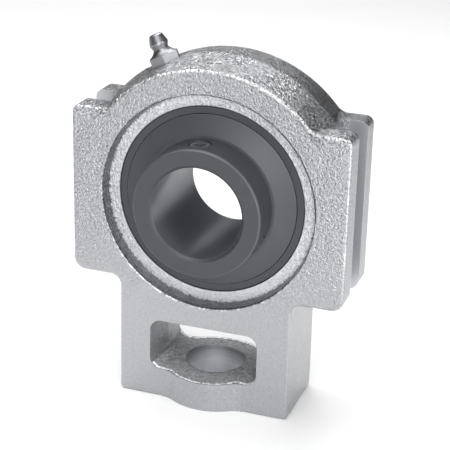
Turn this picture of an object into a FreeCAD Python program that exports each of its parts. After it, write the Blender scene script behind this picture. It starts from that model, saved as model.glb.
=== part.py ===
import FreeCAD, Part
import math
import os
import re
import Sketcher
from FreeCAD import Placement, Rotation, Vector

# A take-up bearing unit: a cast housing that slides in a frame along the two grooves in its
# sides, and is pulled by a threaded rod through its foot. It holds a self-aligning ball
# bearing insert, locked to the shaft by two set screws.
#
# Frame: the origin is the centre of the ball row, on the shaft axis. Y runs along the shaft
# with the set screws on the -Y side, Z points up and the foot hangs down at -Z.

# Driving dimensions, in millimetres and degrees.
SIZES = {
    # Insert: its bore, the walls and lands outwards from it, and the row of balls
    "bore_dia": 33.3375,
    "ring_wall": 6.78125,
    "inner_land": 3.3,
    "outer_land": 3.55,
    "seal_ledge": 1.6,
    "seal_wall": 4.1,
    "ball_dia": 11.1125,
    "ball_count": 9,
    "race_ratio": 0.515,
    "race_clearance": 0.01,
    # Housing: guide plates, arch and foot
    "housing_depth": 30.0,
    "groove_width": 12.0,
    "groove_wall": 8.5,
    "groove_depth": 6.5,
    "plate_top": 30.5,
    "plate_bottom": 32.5,
    "plate_corner": 4.5,
    "plate_shoulder": 3.0,
    "arch_wall": 15.0,
    "front_draft": 10.5,
    "rear_draft": 5.0,
    "arch_fillet": 6.0,
    "foot_side": 13.25,
    "foot_corner": 1.5,
    "web_fillet": 4.0,
    "cast_edge": 1.0,
    # Housing: nut slot and rod hole in the foot
    "slot_wall": 13.0,
    "slot_width": 38.5,
    "slot_height": 17.0,
    "slot_corner": 3.0,
    "slot_draft": 5.0,
    "end_wall": 12.5,
    "rod_hole_dia": 22.0,
    "boss_wall": 8.75,
    "boss_fillet": 8.0,
    # Housing: recess and spherical seat
    "recess_margin": 3.4,
    "recess_flare": 0.7,
    "recess_depth": 4.8,
    "recess_lip": 0.7,
    "seat_clearance": 0.03,
    "notch_clearance": 0.4,
    # Housing: grease nipple port
    "nipple_angle": 115.0,
    "nipple_sink": 1.0,
    "spot_face_dia": 17.0,
    "spot_face_cut": 3.0,
    "port_depth": 8.5,
    "passage_dia": 2.6,
    "passage_offset": 3.4,
    # Outer ring
    "outer_width": 20.0,
    "outer_edge": 0.6,
    "seal_seat_depth": 2.5,
    "grease_groove_width": 4.6,
    "grease_groove_centre": 4.7,
    "grease_groove_depth": 0.8,
    "grease_hole_dia": 2.0,
    "grease_hole_offset": 5.9,
    # Inner ring
    "front_reach": 25.4,
    "back_reach": 17.5,
    "bore_chamfer": 0.9,
    "inner_edge": 0.7,
    # Seals and slingers
    "press_gap": 0.02,
    "lip_clearance": 0.05,
    "seal_plate": 0.7,
    "seal_bead": 1.0,
    "seal_bead_height": 1.5,
    "seal_lip_width": 1.2,
    "slinger_sheet": 0.8,
    "slinger_collar": 1.0,
    "slinger_reach": 2.8,
    "slinger_rim_gap": 0.4,
    "slinger_seal_gap": 0.6,
    "slinger_rim_proud": 0.3,
    # Cage and its rivets
    "cage_sheet": 0.9,
    "cage_inner_gap": 1.3,
    "cage_outer_gap": 1.5,
    "pocket_clearance": 0.12,
    "rivet_dia": 1.5,
    "rivet_head_dia": 2.7,
    "rivet_head_height": 0.6,
    "rivet_crown_dia": 1.6,
    "rivet_clearance": 0.02,
    # Set screws
    "screw_dia": 8.0,
    "screw_tip_gap": 0.2,
    "screw_sink": 0.4,
    "screw_setback": 6.9,
    "screw_angle": 93.0,
    "screw_spacing": 120.0,
    "screw_thread_gap": 0.05,
    "screw_socket": 4.0,
    "screw_socket_depth": 3.2,
    "screw_cup_dia": 4.5,
    "screw_cup_depth": 1.0,
    # Grease nipple
    "nipple_thread_dia": 9.7,
    "nipple_thread_length": 6.5,
    "nipple_thread_gap": 0.05,
    "nipple_entry": 0.6,
    "hex_flats": 10.0,
    "hex_height": 3.0,
    "hex_corner": 0.6,
    "hex_bevel": 30.0,
    "hex_turn": -70.0,
    "neck_dia": 5.5,
    "neck_height": 5.1,
    "neck_round": 4.5,
    "head_dia": 6.7,
    "head_low": 6.8,
    "head_high": 7.3,
    "crown_dia": 4.9,
    "crown_height": 10.0,
    "nipple_height": 10.5,
    "tip_dia": 3.4,
    "tip_hole_dia": 1.6,
    "tip_land": 0.4,
    "check_ball_dia": 2.6,
    "check_ball_gap": 0.03,
    "spring_bore_dia": 3.2,
    "spring_step": 3.0,
    "feed_bore_dia": 2.0,
    "spring_wire": 0.4,
    "spring_gap": 0.1,
    "spring_turns": 4.0,
}

doc = FreeCAD.newDocument("TakeUpBearingUnit")
sheet = doc.addObject("Spreadsheet::Sheet", "Sizes")
for row, (alias, number) in enumerate(SIZES.items(), start=1):
    sheet.set(f"A{row}", alias)
    sheet.set(f"B{row}", str(number))
    sheet.setAlias(f"B{row}", alias)
doc.recompute()

# Places that several pieces share, as expressions on the sheet.
BORE = "(bore_dia / 2)"
INNER_RADIUS = f"({BORE} + ring_wall)"
PITCH = f"({INNER_RADIUS} + inner_land)"
OUTER_SHOULDER = f"({PITCH} + outer_land)"
SEAL_SEAT = f"({OUTER_SHOULDER} + seal_ledge)"
SPHERE = f"({SEAL_SEAT} + seal_wall)"
RACE_RADIUS = "(race_ratio * ball_dia)"
BALL_REACH = "(ball_dia / 2 + race_clearance)"
POCKET_RADIUS = "(ball_dia / 2 + pocket_clearance)"
CAGE_IN = f"({INNER_RADIUS} + cage_inner_gap)"
CAGE_OUT = f"({OUTER_SHOULDER} - cage_outer_gap)"
RIVET_ANGLE = "(90 + 180 / ball_count)"
OUTER_HALF = "(outer_width / 2)"
SEAL_FLOOR = f"({OUTER_HALF} - seal_seat_depth)"
SEAL_FACE = f"({SEAL_FLOOR} + seal_bead)"
SEAT_RADIUS = f"({SPHERE} + seat_clearance)"
HALF_DEPTH = "(housing_depth / 2)"
SEAT_HALF = f"({HALF_DEPTH} - recess_depth)"
RECESS = f"({SPHERE} + recess_margin)"
GROOVE_FLOOR = f"({SPHERE} + groove_wall)"
PLATE_EDGE = f"({GROOVE_FLOOR} + groove_depth)"
ARCH = f"({SPHERE} + arch_wall)"
ARCH_FRONT = f"({ARCH} - {HALF_DEPTH} * tan(front_draft))"
ARCH_REAR = f"({ARCH} - {HALF_DEPTH} * tan(rear_draft))"
SLOT_TOP = f"({SPHERE} + slot_wall)"
FOOT_END = f"({SLOT_TOP} + slot_height + end_wall)"
FOOT_HALF = "(slot_width / 2 + foot_side)"
BOSS = "(rod_hole_dia / 2 + boss_wall)"
NIPPLE_SEAT = f"({ARCH} - nipple_sink)"
SCREW_LINE = "(screw_setback - front_reach)"
SCREW_TIP = f"({BORE} + screw_tip_gap)"
SCREW_LENGTH = "(ring_wall - screw_tip_gap - screw_sink)"
TIP_LAND = "(nipple_height - tip_land)"
BALL_SEAT = "(sqrt(2) * (check_ball_dia / 2 + check_ball_gap))"
CHECK_BALL = f"({TIP_LAND} + tip_hole_dia / 2 - {BALL_SEAT})"


def bound(expression):
    """The expression with each size written as a reference to its cell."""
    def cell(word):
        return "Sizes." + word.group() if word.group() in SIZES else word.group()
    return re.sub(r"[a-z_]+", cell, expression)


def size(expression):
    """The number that an expression on the sheet stands for."""
    return float(doc.getObject("Sizes").evalExpression(expression))


def bind(thing, prop, expression):
    """Tie a property to the sheet."""
    thing.setExpression(prop, bound(expression))


# Bodies, sketches and features


def new_body(name):
    """An empty body whose label is the name of its file."""
    body = doc.addObject("PartDesign::Body", name)
    body.Label = name
    return body


def new_sketch(body, role, name, lift="0"):
    """A sketch on one of the body's own origin planes, or lifted off it along its normal."""
    sketch = body.newObject("Sketcher::SketchObject", name)
    plane = [item for item in body.Origin.OriginFeatures if item.Role == role][0]
    sketch.AttachmentSupport = [(plane, "")]
    sketch.MapMode = "FlatFace"
    if lift != "0":
        bind(sketch, ".AttachmentOffset.Base.z", lift)
    return sketch


def radial_sketch(body, name, angle, distance):
    """A sketch square to a radius of the shaft axis, at an angle from +X towards +Z."""
    sketch = new_sketch(body, "XY_Plane", name)
    sketch.AttachmentOffset = Placement(Vector(0, 0, 0), Rotation(Vector(0, 1, 0), 1))
    bind(sketch, ".AttachmentOffset.Rotation.Angle", f"90 - ({angle})")
    bind(sketch, ".AttachmentOffset.Base.x", f"({distance}) * cos({angle})")
    bind(sketch, ".AttachmentOffset.Base.z", f"({distance}) * sin({angle})")
    return sketch


def pin_point(sketch, geometry, end, across, along):
    """Hold one end of an edge at a place given by two expressions."""
    for kind, axis, expression in (("DistanceX", -2, across), ("DistanceY", -1, along)):
        if expression == "0":
            sketch.addConstraint(Sketcher.Constraint("PointOnObject", geometry, end, axis))
            continue
        start = size(expression)
        index = sketch.addConstraint(
            Sketcher.Constraint(kind, -1, 1, geometry, end, start))
        bind(sketch, f"Constraints[{index}]", expression)


def outline(sketch, points):
    """A closed chain of edges through the points, each (across, along) as expressions.

    A point may name an arc that leads to it, as (across, along, radius, side): the centre
    lies to the left of the way there for "left", and to the right for "right".
    """
    places = [Vector(size(point[0]), size(point[1]), 0) for point in points]
    ends = []
    for number, point in enumerate(points):
        start = places[number - 1]
        finish = places[number]
        if len(point) == 2:
            geometry = sketch.addGeometry(Part.LineSegment(start, finish))
            ends.append((geometry, 1, 2))
            continue
        radius = size(point[2])
        chord = finish - start
        inward = Vector(-chord.y, chord.x, 0).normalize()
        if point[3] == "right":
            inward = -inward
        height = math.sqrt(max(radius ** 2 - (chord.Length / 2) ** 2, 0))
        centre = (start + finish) / 2 + inward * height
        first, last = (start, finish) if point[3] == "left" else (finish, start)
        circle = Part.Circle(centre, Vector(0, 0, 1), radius)
        angles = [math.atan2(place.y - centre.y, place.x - centre.x)
                  for place in (first, last)]
        geometry = sketch.addGeometry(Part.ArcOfCircle(circle, *angles))
        ends.append((geometry, 1, 2) if point[3] == "left" else (geometry, 2, 1))
        index = sketch.addConstraint(Sketcher.Constraint("Radius", geometry, radius))
        bind(sketch, f"Constraints[{index}]", point[2])
    for number, point in enumerate(points):
        geometry, _, last_end = ends[number]
        following, first_end, _ = ends[(number + 1) % len(points)]
        sketch.addConstraint(
            Sketcher.Constraint("Coincident", geometry, last_end, following, first_end))
        pin_point(sketch, geometry, last_end, point[0], point[1])


def circle(sketch, across, along, diameter):
    """A full circle at a place given by two expressions."""
    centre = Vector(size(across), size(along), 0)
    radius = size(diameter) / 2
    geometry = sketch.addGeometry(Part.Circle(centre, Vector(0, 0, 1), radius))
    pin_point(sketch, geometry, 3, across, along)
    index = sketch.addConstraint(Sketcher.Constraint("Diameter", geometry, 2 * radius))
    bind(sketch, f"Constraints[{index}]", diameter)


def mirrored_points(points):
    """The points and their mirror images across the vertical axis, as one closed outline."""
    images = []
    arc = ()
    for point in reversed(points):
        images.append((f"-({point[0]})", point[1]) + arc)
        arc = tuple(point[2:])
    return list(points) + images


def hexagon(sketch, flats, turned="0"):
    """A regular hexagon about the sketch's origin, its first corner at the given angle."""
    corners = []
    for step in range(6):
        angle = f"({turned} + {60 * step})"
        corners.append((f"{flats} / sqrt(3) * cos({angle})", f"{flats} / sqrt(3) * sin({angle})"))
    outline(sketch, corners)


def check(feature, grows=None, before=None):
    """Recompute, and stop if the feature failed or didn't change the body as it should."""
    doc.recompute()
    failed = [state for state in feature.State if state in ("Invalid", "Error")]
    shape = feature.Shape
    if failed or shape.isNull() or not shape.isValid():
        raise RuntimeError(f"{feature.Label} failed: {feature.State}")
    if grows is True and shape.Volume <= before:
        raise RuntimeError(f"{feature.Label} adds nothing")
    if grows is False and shape.Volume >= before:
        raise RuntimeError(f"{feature.Label} cuts nothing")
    return feature


def volume(body):
    """The volume of the body so far."""
    return body.Shape.Volume if body.Tip and not body.Shape.isNull() else 0


def extrude(body, kind, name, sketch, length, sides="One side", taper="0", back=False):
    """A pad or a pocket of one sketch."""
    before = volume(body)
    feature = body.newObject(f"PartDesign::{kind}", name)
    feature.Profile = sketch
    feature.SideType = sides
    bind(feature, "Length", length)
    if taper != "0":
        bind(feature, "TaperAngle", taper)
    feature.Reversed = back
    return check(feature, kind == "Pad", before)


def turn(body, kind, name, sketch, axis="H_Axis", angle=360, middle=False):
    """A revolution or a groove of one sketch about one of its axes."""
    before = volume(body)
    feature = body.newObject(f"PartDesign::{kind}", name)
    feature.Profile = sketch
    feature.ReferenceAxis = (sketch, [axis])
    feature.Angle = angle
    feature.Midplane = middle
    return check(feature, kind == "Revolution", before)


def edges_where(shape, wanted):
    """The names of the edges for which wanted is true."""
    return [f"Edge{number}" for number, edge in enumerate(shape.Edges, start=1) if wanted(edge)]


def round_edges(body, name, radius, wanted, kind="Fillet"):
    """A fillet or a chamfer on the edges for which wanted is true."""
    base = body.Tip
    names = edges_where(base.Shape, wanted)
    if not names:
        raise RuntimeError(f"{name} finds no edge")
    feature = body.newObject(f"PartDesign::{kind}", name)
    feature.Base = (base, names)
    bind(feature, "Radius" if kind == "Fillet" else "Size", radius)
    return check(feature)


def close(one, other, slack=0.01):
    """True if two lengths are the same to the given slack."""
    return abs(one - other) < slack


def along_y_at(across, height):
    """A test for straight edges along Y at the given distance from the middle and height."""
    def wanted(edge):
        if edge.Curve.TypeId != "Part::GeomLine":
            return False
        ends = [vertex.Point for vertex in edge.Vertexes]
        straight = close(ends[0].x, ends[-1].x) and close(ends[0].z, ends[-1].z)
        return straight and close(abs(ends[0].x), across) and close(ends[0].z, height)
    return wanted


def repeat_round(body, name, feature, count, grows):
    """The feature repeated round the shaft axis."""
    before = body.Shape.Volume
    pattern = body.newObject("PartDesign::PolarPattern", name)
    pattern.Originals = [feature]
    axis = [item for item in body.Origin.OriginFeatures if item.Role == "Y_Axis"][0]
    pattern.Axis = (axis, [""])
    pattern.Angle = 360
    bind(pattern, "Occurrences", count)
    body.Tip = pattern
    return check(pattern, grows, before)


# Housing


def guide_plate(body, name, arch_face, plane, inward):
    """The pair of guide plates on one face, with the fillets that run up to the arch."""
    fillet_height = "(plate_top + arch_fillet)"
    fillet_across = f"sqrt(({arch_face} + arch_fillet) ^ 2 - {fillet_height} ^ 2)"
    share = f"{arch_face} / ({arch_face} + arch_fillet)"
    plate = new_sketch(body, "XZ_Plane", f"{name}_outline", lift=plane)
    outline(plate, mirrored_points([
        (PLATE_EDGE, "-plate_bottom"),
        (PLATE_EDGE, "plate_top"),
        (fillet_across, "plate_top"),
        (f"{fillet_across} * {share}", f"{fillet_height} * {share}", "arch_fillet", "right"),
    ]))
    extrude(body, "Pad", name, plate, "(housing_depth - groove_width) / 2", back=inward)


def arch_corner(arch_face, draft):
    """Radius at the face, then depth and radius at the crown, of the arch's round corner."""
    tangent = f"cast_edge * tan(45 - {draft} / 2)"
    return (f"{arch_face} - {tangent}",
            f"({HALF_DEPTH} - {tangent} * cos({draft}))",
            f"{arch_face} + {tangent} * sin({draft})")


def housing_mass(body):
    """Core, foot, guide plates and arch, with the casting's rounded corners."""
    core = new_sketch(body, "XZ_Plane", "core_outline")
    outline(core, mirrored_points([
        (FOOT_HALF, f"-{FOOT_END}"),
        (FOOT_HALF, "-plate_bottom"),
        (GROOVE_FLOOR, "-plate_bottom"),
        (GROOVE_FLOOR, "0"),
    ]))
    extrude(body, "Pad", "core", core, "housing_depth", sides="Symmetric")
    round_edges(body, "foot_corners", "foot_corner",
                along_y_at(size(FOOT_HALF), -size(FOOT_END)))
    round_edges(body, "web_fillets", "web_fillet",
                along_y_at(size(FOOT_HALF), size("-plate_bottom")))
    guide_plate(body, "front_plates", ARCH_FRONT, HALF_DEPTH, inward=True)
    guide_plate(body, "rear_plates", ARCH_REAR, f"-{HALF_DEPTH}", inward=False)
    round_edges(body, "plate_corners", "plate_corner",
                along_y_at(size(PLATE_EDGE), size("-plate_bottom")))
    round_edges(body, "plate_shoulders", "plate_shoulder",
                along_y_at(size(PLATE_EDGE), size("plate_top")))
    round_edges(body, "cast_edges", "cast_edge", on_outer_face)
    front_edge, front_depth, front_crown = arch_corner(ARCH_FRONT, "front_draft")
    rear_edge, rear_depth, rear_crown = arch_corner(ARCH_REAR, "rear_draft")
    arch = new_sketch(body, "YZ_Plane", "arch_section")
    outline(arch, [
        (f"-{HALF_DEPTH}", "0"),
        (HALF_DEPTH, "0"),
        (HALF_DEPTH, rear_edge),
        (rear_depth, rear_crown, "cast_edge", "left"),
        ("0", ARCH),
        (f"-{front_depth}", front_crown),
        (f"-{HALF_DEPTH}", front_edge, "cast_edge", "left"),
    ])
    turn(body, "Revolution", "arch", arch, angle=180, middle=True)


def on_outer_face(edge):
    """The outline of the front or the rear face."""
    depth = size(HALF_DEPTH)
    return all(close(abs(edge.valueAt(place).y), depth)
               for place in (edge.FirstParameter, edge.LastParameter,
                             (edge.FirstParameter + edge.LastParameter) / 2))


def guide_grooves(body):
    """The machined groove down each side, between the guide plates."""
    sketch = new_sketch(body, "XY_Plane", "groove_section")
    for side in (1, -1):
        floor = f"{side} * {GROOVE_FLOOR}"
        past = f"{side} * ({PLATE_EDGE} + groove_depth)"
        outline(sketch, [
            (floor, "-groove_width / 2"),
            (past, "-groove_width / 2"),
            (past, "groove_width / 2"),
            (floor, "groove_width / 2"),
        ])
    extrude(body, "Pocket", "guide_grooves", sketch, "2 * (plate_top + plate_bottom)",
            sides="Symmetric")


def boss_outline(sketch):
    """The round boss with its fillets against the front and rear faces of the foot."""
    centre_along = f"({HALF_DEPTH} + boss_fillet)"
    centre_across = f"sqrt(({BOSS} + boss_fillet) ^ 2 - {centre_along} ^ 2)"
    share = f"{BOSS} / ({BOSS} + boss_fillet)"
    meets = (f"{share} * {centre_across}", f"{share} * {centre_along}")
    outline(sketch, [
        (centre_across, f"-{HALF_DEPTH}", "boss_fillet", "right"),
        (centre_across, HALF_DEPTH),
        (meets[0], meets[1], "boss_fillet", "right"),
        (f"-{meets[0]}", meets[1], BOSS, "left"),
        (f"-{centre_across}", HALF_DEPTH, "boss_fillet", "right"),
        (f"-{centre_across}", f"-{HALF_DEPTH}"),
        (f"-{meets[0]}", f"-{meets[1]}", "boss_fillet", "right"),
        (meets[0], f"-{meets[1]}", BOSS, "left"),
    ])


def foot_features(body):
    """The boss round the rod hole, the drafted nut slot and the hole itself."""
    boss = new_sketch(body, "XY_Plane", "boss_outline", lift=f"-{FOOT_END}")
    boss_outline(boss)
    extrude(body, "Pad", "boss", boss, "end_wall + slot_height / 2")
    slot = new_sketch(body, "XZ_Plane", "slot_outline")
    low = f"end_wall - {FOOT_END}"
    high = f"-{SLOT_TOP}"
    wide = "slot_width / 2"
    outline(slot, mirrored_points([
        (f"{wide} - slot_corner", low),
        (wide, f"{low} + slot_corner", "slot_corner", "left"),
        (wide, f"{high} - slot_corner"),
        (f"{wide} - slot_corner", high, "slot_corner", "left"),
    ]))
    extrude(body, "Pocket", "nut_slot", slot, f"4 * {BOSS}", sides="Symmetric",
            taper="slot_draft")
    hole = new_sketch(body, "XY_Plane", "rod_hole_outline", lift=f"-{FOOT_END}")
    circle(hole, "0", "0", "rod_hole_dia")
    extrude(body, "Pocket", "rod_hole", hole, "end_wall + slot_height / 2", back=True)


def bearing_seat(body):
    """The recess in each face and the spherical seat between them, turned in one cut."""
    seat_edge = f"sqrt({SEAT_RADIUS} ^ 2 - {SEAT_HALF} ^ 2)"
    past = f"{HALF_DEPTH} + recess_depth"
    sketch = new_sketch(body, "YZ_Plane", "seat_section")
    outline(sketch, [
        (f"-({past})", "0"),
        (past, "0"),
        (past, RECESS),
        (HALF_DEPTH, RECESS),
        (SEAT_HALF, f"{RECESS} - recess_flare"),
        (SEAT_HALF, seat_edge),
        (f"-{SEAT_HALF}", seat_edge, SEAT_RADIUS, "left"),
        (f"-{SEAT_HALF}", f"{RECESS} - recess_flare"),
        (f"-{HALF_DEPTH}", RECESS),
        (f"-({past})", RECESS),
    ])
    turn(body, "Groove", "seat", sketch)
    rim = size(RECESS)

    def recess_rim(edge):
        return on_outer_face(edge) and edge.Curve.TypeId == "Part::GeomCircle" \
            and close(edge.Curve.Radius, rim)
    round_edges(body, "recess_lips", "recess_lip", recess_rim)
    reach = f"({SEAT_RADIUS} + notch_clearance)"
    half = f"({OUTER_HALF} + notch_clearance)"
    corner = f"sqrt({reach} ^ 2 - {half} ^ 2)"
    notches = new_sketch(body, "XZ_Plane", "notch_outline")
    outline(notches, [
        (corner, f"-{half}"),
        (corner, half, reach, "left"),
        (f"-({corner})", half),
        (f"-({corner})", f"-{half}", reach, "left"),
    ])
    extrude(body, "Pocket", "loading_notches", notches, "housing_depth")


def nipple_port(body):
    """A spot face on the arch, the tapped hole for the nipple and the grease passage."""
    flat = radial_sketch(body, "spot_face_outline", "nipple_angle", NIPPLE_SEAT)
    circle(flat, "0", "0", "spot_face_dia")
    extrude(body, "Pocket", "spot_face", flat, "spot_face_cut", back=True)
    port = radial_sketch(body, "port_outline", "nipple_angle", NIPPLE_SEAT)
    circle(port, "0", "0", "nipple_thread_dia + 2 * nipple_thread_gap")
    extrude(body, "Pocket", "port", port, "port_depth")
    passage = radial_sketch(body, "passage_outline", "nipple_angle", NIPPLE_SEAT)
    circle(passage, "0", "passage_offset", "passage_dia")
    extrude(body, "Pocket", "passage", passage, f"{NIPPLE_SEAT} - {SPHERE} + passage_dia")


def make_housing():
    """The one-piece casting, then its machined grooves, seat, hole and port."""
    body = new_body("housing")
    housing_mass(body)
    guide_grooves(body)
    foot_features(body)
    bearing_seat(body)
    nipple_port(body)
    return body


# Bearing insert


def make_outer_ring():
    """The outer ring: spherical outside, ball groove, seal seats and grease groove."""
    body = new_body("outer_ring")
    corner = f"sqrt({SPHERE} ^ 2 - ({OUTER_HALF} - outer_edge) ^ 2)"
    face = f"({corner} - outer_edge)"
    race_centre = f"({PITCH} + {BALL_REACH} - {RACE_RADIUS})"
    race_edge = f"sqrt({RACE_RADIUS} ^ 2 - ({OUTER_SHOULDER} - {race_centre}) ^ 2)"
    section = new_sketch(body, "YZ_Plane", "ring_section")
    outline(section, [
        (f"-{OUTER_HALF}", SEAL_SEAT),
        (f"-{SEAL_FLOOR}", SEAL_SEAT),
        (f"-{SEAL_FLOOR}", OUTER_SHOULDER),
        (f"-{race_edge}", OUTER_SHOULDER),
        (race_edge, OUTER_SHOULDER, RACE_RADIUS, "right"),
        (SEAL_FLOOR, OUTER_SHOULDER),
        (SEAL_FLOOR, SEAL_SEAT),
        (OUTER_HALF, SEAL_SEAT),
        (OUTER_HALF, face),
        (f"{OUTER_HALF} - outer_edge", corner),
        (f"outer_edge - {OUTER_HALF}", corner, SPHERE, "left"),
        (f"-{OUTER_HALF}", face),
    ])
    turn(body, "Revolution", "ring", section)
    near = "grease_groove_centre - grease_groove_width / 2"
    far = "grease_groove_centre + grease_groove_width / 2"
    floor = f"{SPHERE} - grease_groove_depth"
    past = f"{SPHERE} + grease_groove_depth"
    groove = new_sketch(body, "YZ_Plane", "grease_groove_section")
    outline(groove, [(near, floor), (far, floor), (far, past), (near, past)])
    turn(body, "Groove", "grease_groove", groove)
    hole = radial_sketch(body, "grease_hole_outline", "nipple_angle", "0")
    circle(hole, "0", "grease_hole_offset", "grease_hole_dia")
    extrude(body, "Pocket", "grease_holes", hole, f"4 * {SPHERE}", sides="Symmetric")
    return body


def make_inner_ring():
    """The wide inner ring: ball groove outside, chamfered bore and two tapped holes."""
    body = new_body("inner_ring")
    race_centre = f"({PITCH} - {BALL_REACH} + {RACE_RADIUS})"
    race_edge = f"sqrt({RACE_RADIUS} ^ 2 - ({race_centre} - {INNER_RADIUS}) ^ 2)"
    section = new_sketch(body, "YZ_Plane", "ring_section")
    outline(section, [
        ("bore_chamfer - front_reach", BORE),
        ("back_reach - bore_chamfer", BORE),
        ("back_reach", f"{BORE} + bore_chamfer"),
        ("back_reach", f"{INNER_RADIUS} - inner_edge"),
        ("back_reach - inner_edge", INNER_RADIUS),
        (race_edge, INNER_RADIUS),
        (f"-{race_edge}", INNER_RADIUS, RACE_RADIUS, "right"),
        ("inner_edge - front_reach", INNER_RADIUS),
        ("-front_reach", f"{INNER_RADIUS} - inner_edge"),
        ("-front_reach", f"{BORE} + bore_chamfer"),
    ])
    turn(body, "Revolution", "ring", section)
    for number, angle in enumerate(("screw_angle", "screw_angle - screw_spacing"), start=1):
        hole = radial_sketch(body, f"screw_hole_{number}_outline", angle, "0")
        circle(hole, "0", SCREW_LINE, "screw_dia")
        extrude(body, "Pocket", f"screw_hole_{number}", hole, f"2 * {INNER_RADIUS}", back=True)
    return body


def make_seal(name, side):
    """A steel-backed rubber seal pressed into the outer ring, its lip round the inner ring."""
    body = new_body(name)
    outside = f"({SEAL_SEAT} - press_gap)"
    lip = f"({INNER_RADIUS} + lip_clearance)"
    inner_face = f"({SEAL_FLOOR} + (seal_bead - seal_plate) / 2)"
    outer_face = f"({inner_face} + seal_plate)"
    section = new_sketch(body, "YZ_Plane", "seal_section")
    points = [
        (SEAL_FLOOR, outside),
        (SEAL_FLOOR, f"{outside} - seal_bead_height"),
        (inner_face, f"{outside} - seal_bead_height - seal_plate"),
        (inner_face, f"{lip} + seal_lip_width"),
        (f"{inner_face} + seal_plate / 2", lip),
        (f"{outer_face} + seal_plate / 2", lip),
        (outer_face, f"{lip} + seal_lip_width"),
        (outer_face, f"{outside} - seal_bead_height - seal_plate"),
        (SEAL_FACE, f"{outside} - seal_bead_height"),
        (SEAL_FACE, outside),
    ]
    outline(section, [(f"{side} * ({across})", along) for across, along in points])
    turn(body, "Revolution", "seal", section)
    return body


def make_slinger(name, side):
    """A pressed steel slinger: a collar on the inner ring and a cone over the seal."""
    body = new_body(name)
    inside = f"({INNER_RADIUS} + press_gap)"
    collar = f"({inside} + slinger_collar)"
    rim = f"({SEAL_SEAT} - slinger_rim_gap)"
    start = f"({SEAL_FACE} + slinger_seal_gap)"
    peak = f"({OUTER_HALF} + slinger_reach)"
    edge = f"({OUTER_HALF} + slinger_rim_proud)"
    section = new_sketch(body, "YZ_Plane", "slinger_section")
    points = [
        (start, inside),
        (peak, inside),
        (peak, collar),
        (edge, rim),
        (f"{edge} - slinger_sheet", rim),
        (f"{peak} - slinger_sheet", collar),
        (start, collar),
    ]
    outline(section, [(f"{side} * ({across})", along) for across, along in points])
    turn(body, "Revolution", "slinger", section)
    return body


def ball_axis(sketch):
    """A construction line along the shaft's direction through the centre of the top ball."""
    height = size(PITCH)
    line = sketch.addGeometry(
        Part.LineSegment(Vector(-height, height, 0), Vector(height, height, 0)), True)
    pin_point(sketch, line, 1, f"-{PITCH}", PITCH)
    pin_point(sketch, line, 2, PITCH, PITCH)
    return "Axis0"


def ball_quarter(body, name, side, radius):
    """A quarter disc about the top ball's centre, on one side of the ball row."""
    sketch = new_sketch(body, "YZ_Plane", name)
    outline(sketch, [
        ("0", PITCH),
        (f"{side} * {radius}", PITCH),
        ("0", f"{PITCH} + {radius}", radius, "left" if side > 0 else "right"),
    ])
    return sketch, ball_axis(sketch)


def make_cage_half(name, side):
    """One pressed half of the ribbon cage: a flat ring with a round pocket for each ball."""
    body = new_body(name)
    ring = new_sketch(body, "YZ_Plane", "ribbon_section")
    outline(ring, [
        ("0", CAGE_IN),
        (f"{side} * cage_sheet", CAGE_IN),
        (f"{side} * cage_sheet", CAGE_OUT),
        ("0", CAGE_OUT),
    ])
    turn(body, "Revolution", "ribbon", ring)
    shell, axis = ball_quarter(body, "dome_section", side, f"({POCKET_RADIUS} + cage_sheet)")
    dome = turn(body, "Revolution", "dome", shell, axis=axis)
    repeat_round(body, "domes", dome, "ball_count", grows=True)
    trim = new_sketch(body, "YZ_Plane", "trim_section")
    for low, high in (("0", CAGE_IN), (CAGE_OUT, SPHERE)):
        outline(trim, [
            (f"-{SPHERE}", low),
            (SPHERE, low),
            (SPHERE, high),
            (f"-{SPHERE}", high),
        ])
    turn(body, "Groove", "trim", trim)
    hollow, axis = ball_quarter(body, "pocket_section", side, POCKET_RADIUS)
    pocket = turn(body, "Groove", "pocket", hollow, axis=axis)
    repeat_round(body, "pockets", pocket, "ball_count", grows=False)
    rivet = new_sketch(body, "XZ_Plane", "rivet_outline")
    circle(rivet, f"{PITCH} * cos({RIVET_ANGLE})", f"{PITCH} * sin({RIVET_ANGLE})",
           "rivet_dia + 2 * rivet_clearance")
    hole = extrude(body, "Pocket", "rivet_hole", rivet, "4 * cage_sheet", sides="Symmetric")
    repeat_round(body, "rivet_holes", hole, "ball_count", grows=False)
    return body


def make_cage_rivets():
    """The rivets that join the two cage halves, one between each pair of balls."""
    shank = size("rivet_dia / 2")
    head = size("rivet_head_dia / 2")
    reach = size("cage_sheet + rivet_clearance")
    top = reach + size("rivet_head_height")
    crown = size("rivet_crown_dia / 2")
    half = [(0, top), (crown, top), (head, reach), (shank, reach)]
    section = half + [(across, -along) for across, along in reversed(half)]
    corners = [Vector(across, along, 0) for across, along in section]
    face = Part.Face(Part.makePolygon(corners + corners[:1]))
    rivet = face.revolve(Vector(0, 0, 0), Vector(0, 1, 0), 360)
    copies = []
    for number in range(int(size("ball_count"))):
        copy = rivet.copy()
        copy.translate(Vector(size(PITCH), 0, 0))
        turned = size(RIVET_ANGLE) + number * 360 / size("ball_count")
        copy.rotate(Vector(0, 0, 0), Vector(0, -1, 0), turned)
        copies.append(copy)
    thing = doc.addObject("Part::Feature", "cage_rivets")
    thing.Label = "cage_rivets"
    thing.Shape = Part.makeCompound(copies)
    thing.Placement = Placement()
    return thing


def make_ball(number):
    """One ball of the row, counted round from the top."""
    ball = doc.addObject("Part::Sphere", f"ball_{number}")
    ball.Label = f"ball_{number}"
    angle = f"(90 + {number - 1} * 360 / ball_count)"
    bind(ball, "Radius", "ball_dia / 2")
    bind(ball, ".Placement.Base.x", f"{PITCH} * cos({angle})")
    bind(ball, ".Placement.Base.z", f"{PITCH} * sin({angle})")
    return ball


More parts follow.
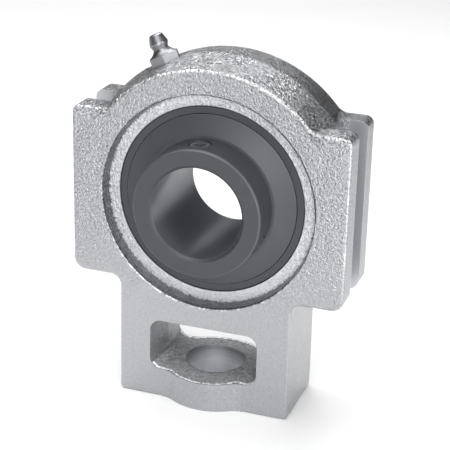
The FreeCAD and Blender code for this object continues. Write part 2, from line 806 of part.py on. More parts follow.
def place_on_radius(body, angle, distance, along="0"):
    """Stand a body made along Z on a radius of the shaft axis, at an angle from +X to +Z."""
    body.Placement = Placement(Vector(0, 0, 0), Rotation(Vector(0, 1, 0), 1))
    bind(body, ".Placement.Rotation.Angle", f"90 - ({angle})")
    bind(body, ".Placement.Base.x", f"({distance}) * cos({angle})")
    bind(body, ".Placement.Base.z", f"({distance}) * sin({angle})")
    if along != "0":
        bind(body, ".Placement.Base.y", along)
    doc.recompute()


def make_set_screw(number):
    """A socket set screw with a cup point, its tip just clear of the shaft bore."""
    body = new_body(f"set_screw_{number}")
    outside = "(screw_dia / 2 - screw_thread_gap)"
    section = new_sketch(body, "XZ_Plane", "screw_section")
    outline(section, [
        ("0", "screw_cup_depth"),
        ("screw_cup_dia / 2", "0"),
        (f"{outside} - screw_cup_depth", "0"),
        (outside, "screw_cup_depth"),
        (outside, f"{SCREW_LENGTH} - screw_cup_depth / 2"),
        (f"{outside} - screw_cup_depth / 2", SCREW_LENGTH),
        ("0", SCREW_LENGTH),
    ])
    turn(body, "Revolution", "screw", section, axis="V_Axis")
    socket = new_sketch(body, "XY_Plane", "socket_outline", lift=SCREW_LENGTH)
    hexagon(socket, "screw_socket")
    extrude(body, "Pocket", "socket", socket, "screw_socket_depth")
    angle = "screw_angle" if number == 1 else "screw_angle - screw_spacing"
    place_on_radius(body, angle, SCREW_TIP, along=SCREW_LINE)
    return body


# Grease nipple, made along Z with the underside of its hexagon at zero


def make_nipple_body():
    """The nipple: tapped shank, hexagon, neck and coupler head, bored for ball and spring."""
    body = new_body("grease_nipple")
    shank = "nipple_thread_dia / 2"
    foot = "-nipple_thread_length"
    section = new_sketch(body, "XZ_Plane", "nipple_section")
    outline(section, [
        ("feed_bore_dia / 2", foot),
        (f"{shank} - nipple_entry", foot),
        (shank, f"{foot} + nipple_entry"),
        (shank, "hex_height"),
        ("neck_dia / 2", "neck_height", "neck_round", "right"),
        ("head_dia / 2", "head_low"),
        ("head_dia / 2", "head_high"),
        ("crown_dia / 2", "crown_height"),
        ("tip_dia / 2", "nipple_height"),
        ("tip_hole_dia / 2", "nipple_height"),
        ("tip_hole_dia / 2", TIP_LAND),
        ("spring_bore_dia / 2", f"{TIP_LAND} - (spring_bore_dia - tip_hole_dia) / 2"),
        ("spring_bore_dia / 2", "spring_step"),
        ("feed_bore_dia / 2", "spring_step"),
    ])
    turn(body, "Revolution", "nipple", section, axis="V_Axis")
    flats = new_sketch(body, "XY_Plane", "hexagon_outline")
    hexagon(flats, "hex_flats", "hex_turn")
    circle(flats, "0", "0", "nipple_thread_dia - 2 * nipple_thread_gap")
    extrude(body, "Pad", "hexagon", flats, "hex_height")
    corner = new_sketch(body, "XZ_Plane", "corner_section")
    past = "(hex_flats / sqrt(3) + hex_corner)"
    outline(corner, [
        ("hex_flats / 2", "hex_height"),
        (past, "hex_height"),
        (past, f"hex_height - ({past} - hex_flats / 2) * tan(hex_bevel)"),
    ])
    turn(body, "Groove", "hex_corners", corner, axis="V_Axis")
    place_on_radius(body, "nipple_angle", NIPPLE_SEAT)
    return body


def make_nipple_ball():
    """The check ball that closes the nipple's tip."""
    ball = doc.addObject("Part::Sphere", "nipple_ball")
    ball.Label = "nipple_ball"
    bind(ball, "Radius", "check_ball_dia / 2")
    bind(ball, ".Placement.Base.x", f"({NIPPLE_SEAT} + {CHECK_BALL}) * cos(nipple_angle)")
    bind(ball, ".Placement.Base.z", f"({NIPPLE_SEAT} + {CHECK_BALL}) * sin(nipple_angle)")
    return ball


def make_nipple_spring():
    """The coil spring that holds the check ball against its seat."""
    body = new_body("nipple_spring")
    coil = "(spring_bore_dia / 2 - spring_wire / 2 - spring_gap)"
    low = "(spring_step + spring_wire / 2 + spring_gap)"
    touch = "(check_ball_dia / 2 + spring_wire / 2 + spring_gap)"
    high = f"({CHECK_BALL} - sqrt({touch} ^ 2 - {coil} ^ 2))"
    wire = new_sketch(body, "XZ_Plane", "wire_section")
    circle(wire, coil, low, "spring_wire")
    feature = body.newObject("PartDesign::AdditiveHelix", "coil")
    feature.Profile = wire
    feature.ReferenceAxis = (wire, ["V_Axis"])
    feature.Mode = "height-turns-angle"
    bind(feature, "Height", f"{high} - {low}")
    bind(feature, "Turns", "spring_turns")
    check(feature, True, 0)
    place_on_radius(body, "nipple_angle", NIPPLE_SEAT)
    return body


PIECES = [
    make_housing(),
    make_outer_ring(),
    make_inner_ring(),
    make_seal("seal_front", -1),
    make_seal("seal_rear", 1),
    make_slinger("slinger_front", -1),
    make_slinger("slinger_rear", 1),
    make_cage_half("cage_front", -1),
    make_cage_half("cage_rear", 1),
    make_cage_rivets(),
    *[make_ball(number) for number in range(1, int(size("ball_count")) + 1)],
    make_set_screw(1),
    make_set_screw(2),
    make_nipple_body(),
    make_nipple_ball(),
    make_nipple_spring(),
]
doc.recompute()

# Nothing is written until every object has been built
for thing in doc.Objects:
    if "Invalid" in thing.State or "Error" in thing.State:
        raise RuntimeError(f"{thing.Label} failed: {thing.State}")
for piece in PIECES:
    if piece.Shape.isNull() or not piece.Shape.isValid():
        raise RuntimeError(f"{piece.Label} has no valid solid")

os.makedirs("parts", exist_ok=True)
for piece in PIECES:
    piece.Shape.exportStep(f"parts/{piece.Label}.step")
    print(f"{piece.Label}: {len(piece.Shape.Solids)} solid, {piece.Shape.Volume:.0f} mm3")
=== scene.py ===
# %% [markdown]
# # A take-up bearing unit
#
# The unit is a plated iron casting that slides along two grooves in its sides, with a black
# ball bearing insert in the middle and a grease nipple on top. The solids come from the
# construction model, with their sizes and places. They could be modelled again here, but then
# two models would have to be kept equal, so this lesson only reads them. It gives each one its
# finish, adds the fine detail that only the eye needs, and sets up the camera and the studio.

import math

import bmesh
import bpy
from mathutils import Matrix, Vector


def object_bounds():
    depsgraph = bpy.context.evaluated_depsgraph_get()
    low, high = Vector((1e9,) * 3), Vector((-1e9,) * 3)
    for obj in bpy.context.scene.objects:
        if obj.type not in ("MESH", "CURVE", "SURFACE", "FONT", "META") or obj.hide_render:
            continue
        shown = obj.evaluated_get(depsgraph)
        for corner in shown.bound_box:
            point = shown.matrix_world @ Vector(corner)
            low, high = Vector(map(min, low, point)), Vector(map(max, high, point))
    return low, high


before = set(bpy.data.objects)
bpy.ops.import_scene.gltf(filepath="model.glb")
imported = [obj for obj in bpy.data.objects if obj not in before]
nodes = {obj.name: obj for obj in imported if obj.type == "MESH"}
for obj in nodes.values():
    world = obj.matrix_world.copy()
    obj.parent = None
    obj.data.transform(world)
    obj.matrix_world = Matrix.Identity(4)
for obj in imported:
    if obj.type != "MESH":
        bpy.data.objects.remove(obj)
cad_box = [list(corner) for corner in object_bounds()]
print("parts:", len(nodes), "box:", cad_box)

# %% [markdown]
# ## Where the camera looks
#
# The photograph was taken from a little to the right and above. A camera could be turned by
# eye until the picture looks right, but three angles and a place are hard to find that way.
# Here they were found by matching points of the casting, such as the plate corners and the rims
# of the rings, so they are plain numbers. The camera's own three directions follow from the
# angles.

# %% Camera directions
CAMERA_AZIMUTH = math.radians(21.04)
CAMERA_HEIGHT_ANGLE = math.radians(21.10)
CAMERA_ROLL = math.radians(0.77)


def camera_axes(azimuth, elevation, roll):
    """The camera's right, up and backward directions."""
    back = Vector((math.sin(azimuth) * math.cos(elevation),
                   -math.cos(azimuth) * math.cos(elevation),
                   math.sin(elevation)))
    level = Vector((math.cos(azimuth), math.sin(azimuth), 0))
    above = back.cross(level)
    right = level * math.cos(roll) + above * math.sin(roll)
    up = above * math.cos(roll) - level * math.sin(roll)
    return right, up, back


camera_turn = Matrix(camera_axes(CAMERA_AZIMUTH, CAMERA_HEIGHT_ANGLE, CAMERA_ROLL)).transposed()
print("camera looks along:", [round(part, 3) for part in -camera_turn.col[2]])

# %% [markdown]
# ## The lens
#
# A long lens from far away keeps the two faces of the casting almost the same size, as in the
# photograph. The object doesn't stand in the middle of the picture. Turning the camera would
# change the perspective, so the picture is shifted instead, as a view camera does.

# %% Camera
PICTURE = 450
PICTURE_MIDDLE = (179.9, 207.0)
FOCAL_PIXELS = 1415.0
SENSOR = 36.0
NEAREST = 0.01
FARTHEST = 50.0
CAMERA_PLACE = Vector((0.1568, -0.4475, 0.1766))

lens = bpy.data.cameras.new("camera")
camera = bpy.data.objects.new("camera", lens)
bpy.context.scene.collection.objects.link(camera)
camera.matrix_world = Matrix.Translation(CAMERA_PLACE) @ camera_turn.to_4x4()
lens.sensor_width = SENSOR
lens.lens = FOCAL_PIXELS / PICTURE * SENSOR
lens.shift_x = (PICTURE / 2 - PICTURE_MIDDLE[0]) / PICTURE
lens.shift_y = (PICTURE_MIDDLE[1] - PICTURE / 2) / PICTURE
lens.clip_start = NEAREST
lens.clip_end = FARTHEST
bpy.context.scene.camera = camera
print("lens:", round(lens.lens, 1), "mm at", round(CAMERA_PLACE.length, 3), "m")

# %% [markdown]
# ## The room
#
# Metal shows the room it stands in. A bright world would fill every reflection with the same
# white, and the plate would look like chalk. A world that is almost dark leaves the dark parts
# of the reflections to the room and the bright ones to the lamps, which can then be placed.

# %% World
WORLD_STRENGTH = 0.04

bpy.context.scene.view_settings.view_transform = "Standard"
bpy.context.scene.view_settings.look = "None"
world = bpy.data.worlds.new("studio")
bpy.context.scene.world = world
world.use_nodes = True
background = world.node_tree.nodes["Background"].inputs
background["Color"].default_value = (1.0, 1.0, 1.0, 1.0)
background["Strength"].default_value = WORLD_STRENGTH
print("world strength:", WORLD_STRENGTH)

# %% [markdown]
# ## The floor
#
# The unit stands on a sheet of white paper. A studio would bend the sheet up behind the object.
# This camera looks down and sees only the floor, so one large flat square at the height of the
# foot is enough.

# %% Floor
FLOOR_SIZE = 6.0

floor_z = cad_box[0][2]
form = bmesh.new()
bmesh.ops.create_grid(form, x_segments=1, y_segments=1, size=FLOOR_SIZE / 2)
bmesh.ops.translate(form, verts=form.verts, vec=(0, 0, floor_z))
floor_mesh = bpy.data.meshes.new("floor")
form.to_mesh(floor_mesh)
form.free()
floor = bpy.data.objects.new("floor", floor_mesh)
bpy.context.scene.collection.objects.link(floor)
print("floor at z:", round(floor_z, 4))

# %% [markdown]
# ## The lamps
#
# The photograph has soft shadows on several sides, so it was lit by more than one soft box. The
# brightness of each could be tried by hand. Here the scene was rendered once with each lamp
# alone, and the shares that add up to the photograph's greys were worked out from those
# pictures. The wide lamps above and in front do most of the work, and the small one behind
# brightens the top of the arch.

# %% Lamps
# Each has its place, width and height in metres and its power in watts.
SOFT_BOXES = {
    "overhead": ((-0.25, 0.10, 0.90), 0.9, 0.8, 8.8),
    "high_front": ((0.05, -0.60, 1.10), 0.8, 0.6, 5.0),
    "front": ((0.45, -1.20, 0.40), 0.9, 0.7, 13.2),
    "right_side": ((0.95, -0.25, 0.25), 0.4, 0.8, 4.6),
    "behind": ((-0.27, 0.82, 0.84), 0.42, 0.3, 3.0),
}


def area_light(name, place, width, height, power):
    """A rectangular lamp at a place, turned towards the middle of the object."""
    data = bpy.data.lights.new(name, "AREA")
    data.shape = "RECTANGLE"
    data.size = width
    data.size_y = height
    data.energy = power
    light = bpy.data.objects.new(name, data)
    bpy.context.scene.collection.objects.link(light)
    light.location = place
    light.rotation_euler = (-Vector(place)).to_track_quat("-Z", "Y").to_euler()


for box_name, box in SOFT_BOXES.items():
    area_light(box_name, *box)
total_power = sum(box[-1] for box in SOFT_BOXES.values())
print("lamps:", len(SOFT_BOXES), "with", round(total_power, 1), "W in all")

# %% [markdown]
# ## A small language for finishes: values
#
# A finish is a network of shader nodes. Written by hand, each sum of two values takes several
# lines, and the sum itself is lost among them. The class below wraps one output of a node.
# Adding or multiplying two of them adds the Math node that does it, so a formula in the code
# looks like a formula.

# %% Values


class Value:
    """One output of a node, with the arithmetic that adds Math nodes."""

    def __init__(self, finish, socket):
        self.finish = finish
        self.socket = socket

    def math(self, operation, *others):
        """A Math node on this value and others."""
        inputs = dict(enumerate((self,) + others))
        return self.finish.node("ShaderNodeMath", {"operation": operation}, inputs)

    def __add__(self, other):
        return self.math("ADD", other)

    __radd__ = __add__

    def __sub__(self, other):
        return self.math("SUBTRACT", other)

    def __rsub__(self, other):
        return (self * -1) + other

    def __mul__(self, other):
        return self.math("MULTIPLY", other)

    __rmul__ = __mul__

    def __truediv__(self, other):
        return self.math("DIVIDE", other)

    def __pow__(self, other):
        return self.math("POWER", other)

    def step(self, low, high):
        """0 below low, 1 above high, and smooth between."""
        settings = {"interpolation_type": "SMOOTHSTEP"}
        sockets = {"Value": self, "From Min": low, "From Max": high}
        return self.finish.node("ShaderNodeMapRange", settings, sockets)

    def past(self, edge, border=0.2):
        """1 past an edge, with a smooth border that starts at the edge."""
        return self.step(edge, edge + border)

    def before(self, edge, border=0.2):
        """1 before an edge, with a smooth border that starts at the edge."""
        return 1 - self.past(edge, border)

    def between(self, first, last, border=0.2):
        """1 between two edges."""
        return self.past(first, border) * self.before(last, border)

    def clamp(self):
        """The value held between 0 and 1."""
        return self.math("MAXIMUM", 0.0).math("MINIMUM", 1.0)


def offers(kind):
    """The names of a class's own methods."""
    return [name for name in vars(kind) if not name.startswith("__")]


print("a value offers:", offers(Value))

# %% [markdown]
# ## A small language for finishes: the network
#
# The second class holds one material. Every node that isn't arithmetic comes from its one
# method, which takes the node's type, its settings and what goes into its sockets. It starts
# with the place of each point on the part, because that place moves with the part, so the
# finish doesn't slide over a piece that turns.

# %% Networks


class Network:
    """A material, its shader and the place of each point on the part."""

    def __init__(self, name):
        self.material = bpy.data.materials.new(name)
        self.material.use_nodes = True
        self.tree = self.material.node_tree
        self.shader = self.tree.nodes["Principled BSDF"]
        self.place = self.node("ShaderNodeTexCoord", output="Object")
        split = self.node("ShaderNodeSeparateXYZ", sockets={0: self.place}, whole=True)
        self.x, self.y, self.z = (Value(self, split.outputs[axis]) for axis in "XYZ")

    def put(self, node, sockets):
        """Set or link the sockets of a node."""
        for name, value in sockets.items():
            if isinstance(value, Value):
                self.tree.links.new(value.socket, node.inputs[name])
            else:
                node.inputs[name].default_value = value

    def node(self, kind, settings=None, sockets=None, output=0, whole=False):
        """A node of any type: one of its outputs, or the node itself."""
        made = self.tree.nodes.new(kind)
        for key, value in (settings or {}).items():
            setattr(made, key, value)
        self.put(made, sockets or {})
        return made if whole else Value(self, made.outputs[output])

    def show(self, **sockets):
        """Feed the shader, with _ for a space in a socket's name."""
        self.put(self.shader, {key.replace("_", " "): value for key, value in sockets.items()})
        print(self.material.name, "has", len(self.tree.nodes), "nodes")
        return self.material


print("a network offers:", offers(Network))

# %% [markdown]
# ## A small language for finishes: textures
#
# Nothing is painted, and no picture is wrapped round a part: both would need the mesh laid out
# flat, and they blur when the camera comes near. Noise and cells are worked out from the place
# in space instead, so they are sharp at every distance and have no seams. A bump tilts the
# light's view of a surface and leaves its mesh alone.

# %% Textures


class Finish(Network):
    """A network with the textures that this lesson uses."""

    def noise(self, scale, detail=2.0, roughness=0.5, stretch=None, place=None):
        """Noise, about 0 to 1, with its scale in waves per metre."""
        place = place or self.place
        if stretch:
            place = self.node("ShaderNodeMapping", sockets={"Vector": place, "Scale": stretch})
        sockets = {"Vector": place, "Scale": scale, "Detail": detail, "Roughness": roughness}
        return self.node("ShaderNodeTexNoise", {"noise_dimensions": "3D"}, sockets)

    def cells(self, scale):
        """Distance to the nearest of a crowd of points, for grains."""
        sockets = {"Vector": self.place, "Scale": scale}
        return self.node("ShaderNodeTexVoronoi", {"feature": "F1"}, sockets)

    def bump(self, height, depth):
        """A surface normal from a height, where 1 stands depth metres high."""
        sockets = {"Height": height, "Distance": depth, "Strength": 1.0}
        return self.node("ShaderNodeBump", sockets=sockets)

    def grey(self, value, cool=0.035):
        """A grey that leans a little to blue, as metal under daylight lamps does."""
        sockets = {"Red": value * (1 - 0.4 * cool), "Green": value, "Blue": value * (1 + cool)}
        return self.node("ShaderNodeCombineColor", sockets=sockets)


print("a finish adds:", offers(Finish))

# %% [markdown]
# ## The paper
#
# The paper is matt and white. One flat colour would look like a hole in the picture, so it gets
# the faintest cloudiness.

# %% Paper
paper = Finish("paper")
cloud = paper.noise(3.0)
floor_mesh.materials.append(paper.show(
    Base_Color=paper.grey(0.93 + 0.02 * cloud, cool=0.0),
    Roughness=0.9,
))

# %% [markdown]
# ## The casting: distances
#
# The housing is cast iron with a bright zinc plate. Sand leaves a skin of fine grains, and the
# plate makes every grain a small mirror, so the skin sparkles. Where a tool has cut, the skin
# is gone. Each face could have a material of its own, but the construction mesh must stay as it
# is, and the border of two materials is always hard. Here one material asks each point where it
# is. This cell makes the distances that the questions need, in millimetres.

# %% Distances on the casting
MM = 0.001

casting = Finish("plated_iron")
x, y, z = (axis / MM for axis in (casting.x, casting.y, casting.z))
across = x.math("ABSOLUTE")
depth = y.math("ABSOLUTE")
radius = (x * x + z * z) ** 0.5
from_centre = (x * x + y * y + z * z) ** 0.5
from_rod = (x * x + y * y) ** 0.5
print("distances use", len(casting.tree.nodes), "nodes")

# %% [markdown]
# ## The casting: where a tool has cut
#
# The guide grooves are milled, the seat of the insert is turned and the rod hole is drilled. A
# mask is a value that is 1 inside a place and 0 outside it. Each mask here is a product of
# smooth steps over the distances, so that its border is narrow but never jagged.

# %% Cut surfaces
GROOVE_START = 44.0
GROOVE_HALF_WIDTH = 6.3
SEAT_RADIUS = 36.05
ROD_HOLE_RADIUS = 11.1
ROD_HOLE_TOP = -61.0
ROD_HOLE_END = -74.0

in_groove = across.past(GROOVE_START) * depth.before(GROOVE_HALF_WIDTH)
in_seat = from_centre.before(SEAT_RADIUS, 0.1)
in_rod_hole = from_rod.before(ROD_HOLE_RADIUS) * z.before(ROD_HOLE_TOP, 0.5)
# The lower part of the rod hole, which is painted lighter below as painted light.
painted_light_hole_bottom = in_rod_hole * z.before(ROD_HOLE_END, 8.0)
cut = (in_groove + in_seat + in_rod_hole).clamp()
print("cut surfaces: grooves, seat and rod hole")

# %% [markdown]
# ## The casting: the slot in the foot
#
# The slot holds the nut of the adjusting rod. It is cast, with finer sand than the outside. The
# plate is thin and dull at the bottom of it. Inside the slot, and more on its floor, the colour
# is darkened as painted shade, and the lip at its front edge carries broken painted highlights.
# The foot's faces lie at the same height as the slot, so they are kept out by their depth. On
# the boss, which stands out past the faces, the slot's floor goes on.

# %% Slot
SLOT_TOP = -47.6
SLOT_FLOOR_TOP = -65.6
SLOT_FLOOR_LOWEST = -68.4
SLOT_HALF_WIDTH = 21.0
FACE_START = 14.5
LIP_START = 13.2
BOSS_RADIUS = 19.2
SOFT = 0.4

behind_faces = 1 - depth.past(FACE_START, SOFT) * from_rod.past(BOSS_RADIUS, SOFT)
in_slot = z.between(SLOT_FLOOR_LOWEST, SLOT_TOP, SOFT) * across.before(SLOT_HALF_WIDTH, SOFT)
in_slot = in_slot * behind_faces * (1 - in_rod_hole)
slot_floor = in_slot * z.before(SLOT_FLOOR_TOP, SOFT)
# Painted highlights: the lip's colour is made lighter in broken glints.
painted_lip_glints = slot_floor * depth.past(LIP_START, 0.6) * from_rod.past(BOSS_RADIUS - 0.8, 0.5)
painted_lip_glints = painted_lip_glints * (0.5 + 1.6 * casting.noise(800.0, roughness=0.6).step(0.42, 0.54))
print("slot masks: slot, floor and lip")

# %% [markdown]
# ## The casting: the recess round the seat
#
# A cast recess lies between the arch's face and the seat. Its wall is in shade, and that shade
# is painted into its colour, as is a ragged band of shade on the floor next to the wall. The
# rest of the floor is rough, and it is painted lighter as painted light. The rim gets ragged
# dark bites of painted shade, like the shade that chips would throw: chips could be cut into the
# mesh, but they are smaller than a millimetre and only the eye needs them. The radius is shaken
# by noise before its steps are taken, and that makes the borders ragged. Along the bottom,
# painted highlights give the rim small glints.

# %% Recess
RAGGED = 4.0
WALL_START = 38.6
WALL_END = 39.5
RECESS_DEPTH = 10.1
GLINTS_START = -32.0

ragged_radius = radius + RAGGED * (casting.noise(1300.0, roughness=0.6) - 0.5)
in_recess_wall = radius.between(WALL_START, WALL_END) * depth.past(RECESS_DEPTH + 0.2, 0.3)
at_recess_depth = depth.past(RECESS_DEPTH, 0.05) * depth.before(RECESS_DEPTH + 0.3)
on_recess_floor = radius.before(WALL_START + 0.1, 0.1) * at_recess_depth
# The floor inside the ragged border, which is painted lighter below as painted light.
recess_floor = on_recess_floor * ragged_radius.before(WALL_START - 0.2, 0.3)
near_face = depth.past(FACE_START - 0.1, SOFT)
# Painted shade: ragged dark bites along the rim.
painted_chip_shade = radius.past(WALL_END - 0.3) * ragged_radius.before(WALL_END - 0.1, 0.3) * near_face
# Painted highlights: small broken glints along the bottom of the rim.
painted_rim_glints = radius.past(WALL_END) * radius.before(WALL_END + 0.5, SOFT) * near_face
painted_rim_glints = painted_rim_glints * z.before(GLINTS_START, 16.0)
painted_rim_glints = painted_rim_glints * casting.noise(900.0, roughness=0.6).step(0.5, 0.58)
# Painted shade on the wall and on the floor's outer band.
shadowed = in_recess_wall + 0.6 * (on_recess_floor - recess_floor)
print("recess masks: wall, floor, rim, glints and shade")

# %% [markdown]
# ## The casting: the arch
#
# The mould parts along the middle of the arch, so the front and the rear half slope away from
# each other. The front one is brighter and has more sparkle, which is painted light and painted
# sparkle in its colour, and the rear one is painted darker as painted shade. Near the nipple the
# skin is painted darker too, as painted shade. The arch's right end turns away from every lamp
# and is darkest, which is painted shade, and its top faces them and is lightest, which is
# painted light. Masks over the depth, the width and the distance from the nipple's foot keep
# these apart.

# %% Arch
ARCH_START = 46.5
ARCH_BOTTOM = 24.0
NIPPLE_FOOT = (-32.0, -9.0, 38.0)
NIPPLE_SHADE_REACH = 9.0
RIGHT_END = 24.0
PLATE_TOP = 40.0
LIT_START = -25.0

on_arch = radius.past(ARCH_START, 1.5) * z.past(ARCH_BOTTOM, 6.0)
# Painted light on the front half and painted shade on the rear half.
painted_shade_rear_half = on_arch * y.past(-0.1, SOFT)
painted_light_front_half = on_arch - painted_shade_rear_half
aside, deeper, higher = (axis - foot for axis, foot in zip((x, y, z), NIPPLE_FOOT))
from_nipple_foot = (aside * aside + deeper * deeper + higher * higher) ** 0.5
# Painted shade round the nipple's foot.
painted_shade_near_nipple = on_arch * from_nipple_foot.before(NIPPLE_SHADE_REACH, 10.0)
at_right_end = x.past(RIGHT_END, 11.0)
# Painted shade on the right end and painted light on the top.
painted_shade_right_end = on_arch * at_right_end * x.before(PLATE_TOP, 2.5)
painted_light_top = on_arch * x.past(LIT_START, 15.0) * (1 - at_right_end)
print("arch masks: front half, rear half, grease, dark end and lit top")

# %% [markdown]
# ## The casting: rubbed edges
#
# The casting's front edges show bright lines, and these are painted highlights in the colour. A
# node can find edges by comparing the surface with a smoothed one, but it is slow and finds
# every small edge of the bearing's seat too. The edges wanted here all lie in the casting's last
# millimetre of depth, so a band of depth picks them, brighter from the foot to the top. Slow
# noise breaks the line up.

# %% Painted edge highlights
EDGE_START = 13.9
EDGE_END = 14.9
PLATE_SIDE = 50.7
FOOT_END = -80.0

# Painted highlights: a band of lighter colour along the front edges.
painted_edge_highlight = depth.past(EDGE_START, 0.5) * depth.before(EDGE_END, 0.07)
painted_edge_highlight = painted_edge_highlight * (1 - cut) * (1 - in_slot) * (1 - in_recess_wall)
painted_edge_highlight = painted_edge_highlight * across.before(PLATE_SIDE) * z.past(FOOT_END, 120.0)
painted_edge_highlight = painted_edge_highlight * (0.3 + 0.7 * casting.noise(330.0, roughness=0.6).step(0.42, 0.58))
print("masks use", len(casting.tree.nodes), "nodes so far")

# %% [markdown]
# ## The casting: the skin's relief
#
# The grains are about half a millimetre wide. Real grains in the mesh would take millions of
# faces, and the outline would hardly change, so they are a bump. Cells make separate grains,
# noise makes lumps of them, and a slow swell keeps the wide faces from being perfectly flat.
# The skin is roughest on the arch and calmer towards the foot. Tool marks are noise that is
# stretched along the tool's way: straight in the grooves, and round the wall of the rod hole.

# %% Relief of the skin
RELIEF_DEPTH = 0.36
STRETCHED = 0.05

rough_part = 0.45 + 0.85 * z.past(-45.0, 45.0) + 0.5 * on_arch
grains = 1 - casting.cells(1800.0)
lumps = casting.noise(1000.0, 3.0, 0.65)
sand = casting.noise(2600.0, roughness=0.6)
swell = casting.noise(140.0, 1.0)
skin_height = rough_part * (grains * 0.45 + lumps * 1.15) * (1 - in_slot) + swell * 0.8
skin_height = skin_height + sand * (0.5 * in_slot + 0.6 * recess_floor)
tool_marks = casting.noise(900.0, stretch=(1.0, 1.0, STRETCHED))
drill_marks = casting.noise(1100.0, roughness=0.6, stretch=(STRETCHED, STRETCHED, 1.0))
height = skin_height * (1 - cut) + tool_marks * 0.08 * cut + drill_marks * 0.1 * in_rod_hole
print("relief depth:", RELIEF_DEPTH, "mm")

# %% [markdown]
# ## The casting: the plate's grey
#
# Seen closely, the plate is a crowd of bright and dark spots, because each grain mirrors
# another part of the room. At the size of the picture the bump alone gives too little of this.
# The colour therefore follows the same lumps, as painted reflections: their tops are lighter and
# the pits between them darker. The places found above then add painted light and painted shade
# to it as a whole.

# %% Grey of the plate
SKIN_GREY = 0.43
CUT_GREY = 0.56

# Painted reflections: lighter lump tops and darker pits.
spots = lumps.step(0.52, 0.66) + lumps.step(0.34, 0.50) - 1
contrast = 0.09 * rough_part + 0.12 * painted_light_front_half + 0.08 * in_slot + 0.08 * slot_floor
contrast = contrast + 0.12 * in_recess_wall
# The lighter terms are painted light on the recess floor, the arch's front half and top, and
# painted highlights on the edges, the lip and the rim. The darker terms are painted shade in the
# slot, on the arch's rear half and right end, near the nipple and on the rim's chips. The
# recess's painted shade dims the whole.
lighter = 0.60 * recess_floor + 0.7 * painted_edge_highlight + 0.9 * painted_lip_glints + 0.12 * painted_light_front_half
lighter = lighter + 0.9 * painted_rim_glints + 0.12 * painted_light_top
darker = 0.1 * in_slot + 0.2 * slot_floor + 0.10 * painted_shade_rear_half + 0.3 * painted_shade_right_end
darker = darker + 0.42 * painted_shade_near_nipple + 0.45 * painted_chip_shade
skin_grey = (SKIN_GREY + contrast * spots) * (1 - 0.35 * shadowed) * (1 + lighter - darker)
# In the rod hole the colour is painted darker as painted shade, and lighter towards its bottom
# as painted light. The drill marks vary it.
cut_grey = CUT_GREY + in_rod_hole * (0.25 * (drill_marks - 0.5) - 0.20) + 0.55 * painted_light_hole_bottom
print("grey of the plate uses", len(casting.tree.nodes), "nodes so far")

# %% [markdown]
# ## The casting: all together
#
# The plate is metal almost everywhere. The bottom of the slot is the exception: it is so dull
# that it looks like grey paint, and a surface that isn't metal shows that without mirroring the
# lamps. The skin is a little less rough on the arch than in the slot.

# %% Finish of the casting
skin_dull = 0.31 + 0.06 * (swell - 0.5) - 0.04 * on_arch + 0.10 * in_slot + 0.1 * recess_floor
cut_dull = 0.40 + 0.1 * in_rod_hole
casting_material = casting.show(
    Base_Color=casting.grey(skin_grey * (1 - cut) + cut_grey * cut),
    Roughness=skin_dull * (1 - cut) + cut_dull * cut,
    Metallic=(1 - 0.2 * in_slot - 0.9 * slot_floor - 0.2 * recess_floor).clamp(),
    Normal=casting.bump(height, RELIEF_DEPTH * MM),
)


def dress(names, material):
    """Give construction parts one material."""
    for name in names:
        slots = nodes[name].data.materials
        slots.clear()
        slots.append(material)
    print(material.name, "on", ", ".join(names))


dress(["housing"], casting_material)

# %% [markdown]
# ## The black rings: a recipe
#
# The rings of the insert are hardened steel with a black oxide finish. It could be one flat
# black, but the oxide is thin and follows the turned surface, so the shine stretches round the
# shaft. The marks are noise over only two numbers, the distance from the shaft and the place
# along it. That makes them rings by themselves. In the bore the oxide is worn and some steel
# shines through. The front rim gets a painted highlight, a band of lighter colour, and the
# narrow gap beside the slinger is painted lighter, as painted light against the shade in it.

# %% Recipe for black steel
BORE_RADIUS = 16.70
RIM_RADIUS = 22.75
RIM_FRONT = -25.2
GAP_START = 31.40
GAP_END = 31.92


def black_steel(name, tone, gloss, mark_mm):
    """Turned steel under black oxide, with fine marks round the shaft axis."""
    finish = Finish(name)
    reach = (finish.x * finish.x + finish.z * finish.z) ** 0.5
    reach_mm = reach / MM
    in_bore = reach_mm.before(BORE_RADIUS, 0.06)
    # Painted highlight along the front rim, and painted light in the gap beside the slinger.
    painted_rim_highlight = reach_mm.past(RIM_RADIUS, 0.3) * (finish.y / MM).before(RIM_FRONT, SOFT)
    in_gap = reach_mm.between(GAP_START, GAP_END, 0.05)
    line = finish.node("ShaderNodeCombineXYZ", sockets={0: reach, 1: finish.y, 2: 0.0})
    marks = finish.noise(4200.0, roughness=0.6, place=line)
    stain = finish.noise(160.0, 3.0, 0.55)
    # The bore is lighter steel. The rim and gap terms are painted light.
    lighter = 0.10 * in_bore + 0.05 * painted_rim_highlight + 0.10 * in_gap
    return finish.show(
        Base_Color=finish.grey(tone + 0.25 * tone * (stain - 0.5) + lighter, cool=0.12),
        Roughness=gloss + 0.10 * (stain - 0.5) - 0.1 * in_bore,
        Metallic=0.4 * in_bore,
        Normal=finish.bump(marks, mark_mm * MM),
    )


print("recipe made: black_steel")

# %% [markdown]
# ## The black rings: three pieces from the recipe
#
# The outer ring, the inner ring and the pressed slingers went through the same bath, but were
# made differently. One shared material would make them run together in the picture, so each
# has its own grey, gloss and depth of marks.

# %% Black rings
dress(["outer_ring"], black_steel("black_outer_ring", tone=0.045, gloss=0.48, mark_mm=0.006))
dress(["inner_ring"], black_steel("black_inner_ring", tone=0.045, gloss=0.42, mark_mm=0.005))
slingers = ["slinger_front", "slinger_rear"]
dress(slingers, black_steel("black_slinger", tone=0.062, gloss=0.45, mark_mm=0.003))

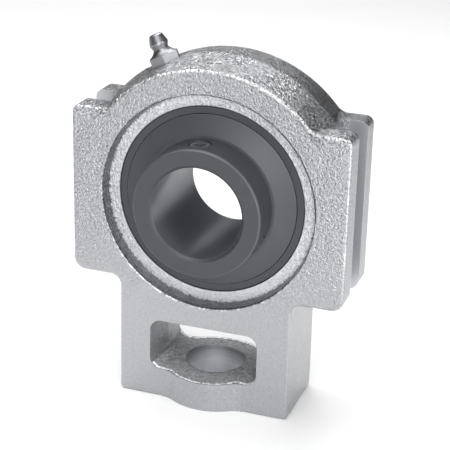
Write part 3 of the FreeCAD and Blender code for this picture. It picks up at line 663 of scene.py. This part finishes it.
# %% [markdown]
# ## The set screws
#
# Two socket set screws clamp the inner ring on the shaft. They are black too, but glossier than
# the ring. Their thread only shows when a screw is backed out. A cut helix would be a heavy
# mesh for so little, so the thread is a bump: its height follows the distance along the screw
# plus a share of a turn for the angle round it, and those two together make a helix.

# %% Set screws
# Angles round the shaft from the X axis. The other lengths are in millimetres.
SCREW_ANGLES = {"set_screw_1": math.radians(93.0), "set_screw_2": math.radians(-27.0)}
SCREW_LINE = -18.5
SCREW_RADIUS = 3.95
THREAD_PITCH = 1.25
THREAD_DEPTH = 0.5

for screw_name, angle in SCREW_ANGLES.items():
    screw = Finish(screw_name + "_black")
    out = (screw.x * math.cos(angle) + screw.z * math.sin(angle)) / MM
    aside = (screw.z * math.cos(angle) - screw.x * math.sin(angle)) / MM
    along_shaft = screw.y / MM - SCREW_LINE
    turn_share = aside.math("ARCTAN2", along_shaft) / (2 * math.pi)
    thread = (out / THREAD_PITCH + turn_share).math("PINGPONG", 0.5) * 2
    off_axis = (aside * aside + along_shaft * along_shaft) ** 0.5
    on_side = off_axis.past(SCREW_RADIUS - 0.15, 0.1)
    screw_cloud = screw.noise(900.0)
    dress([screw_name], screw.show(
        Base_Color=screw.grey(0.10 + 0.06 * (screw_cloud - 0.5)),
        Roughness=0.24 + 0.10 * (screw_cloud - 0.5),
        Normal=screw.bump(thread * on_side, THREAD_DEPTH * MM),
    ))

# %% [markdown]
# ## The grease nipple
#
# The nipple is turned from bar and plated, so it is much smoother than the casting beside it.
# A lathe leaves rings round the nipple's own axis, which leans to the left. Noise over the
# distance along that axis gives these rings, and a mesh of them isn't needed.

# %% Plated nipple
NIPPLE_ANGLE = math.radians(115.0)

plate = Finish("bright_plate")
plate_cloud = plate.noise(700.0)
along = plate.x * math.cos(NIPPLE_ANGLE) + plate.z * math.sin(NIPPLE_ANGLE)
ridge = plate.node("ShaderNodeCombineXYZ", sockets={0: along, 1: 0.0, 2: 0.0})
turned = plate.noise(2400.0, roughness=0.6, place=ridge)
dress(["grease_nipple"], plate.show(
    Base_Color=plate.grey(0.30 + 0.08 * (plate_cloud - 0.5)),
    Roughness=0.42 + 0.10 * (plate_cloud - 0.5),
    Metallic=1.0,
    Normal=plate.bump(turned, 0.03 * MM),
))

# %% [markdown]
# ## Inside the bearing: the cage and the spring
#
# The cage's halves are pressed from sheet and riveted, and the nipple's spring is drawn wire.
# Both are bare steel with a half dull shine. Nobody sees them in the closed unit, so they share
# one simple finish.

# %% Bare steel
steel = Finish("bare_steel")
brush = steel.noise(1200.0)
dress(["cage_front", "cage_rear", "cage_rivets", "nipple_spring"], steel.show(
    Base_Color=steel.grey(0.52 + 0.08 * (brush - 0.5)),
    Roughness=0.32 + 0.10 * (brush - 0.5),
    Metallic=1.0,
))

# %% [markdown]
# ## Inside the bearing: the balls
#
# Bearing balls are ground and lapped until they mirror the room. A perfect mirror looks unreal,
# so a faint haze varies their roughness a little. The nipple's check ball is the same.

# %% Polished balls
mirror = Finish("polished_steel")
haze = mirror.noise(500.0)
balls = [name for name in nodes if name.startswith("ball_")] + ["nipple_ball"]
dress(balls, mirror.show(
    Base_Color=mirror.grey(0.78 + 0.04 * (haze - 0.5)),
    Roughness=0.07 + 0.04 * haze,
    Metallic=1.0,
))

# %% [markdown]
# ## Inside the bearing: the seals
#
# The seals are black rubber. It isn't metal and hardly shines. Fine grain from the mould keeps
# it from looking like plastic, and it is a bump because it is finer than any mesh here.

# %% Seal rubber
rubber = Finish("seal_rubber")
grain = rubber.noise(2200.0, roughness=0.6)
dress(["seal_front", "seal_rear"], rubber.show(
    Base_Color=rubber.grey(0.022 + 0.012 * grain),
    Roughness=0.62 + 0.1 * (grain - 0.5),
    Normal=rubber.bump(grain, 0.02 * MM),
))

# %% [markdown]
# ## Done
#
# The box of the construction model is kept from the start, and the floor stands at its bottom. A
# finish must not make the object bigger.
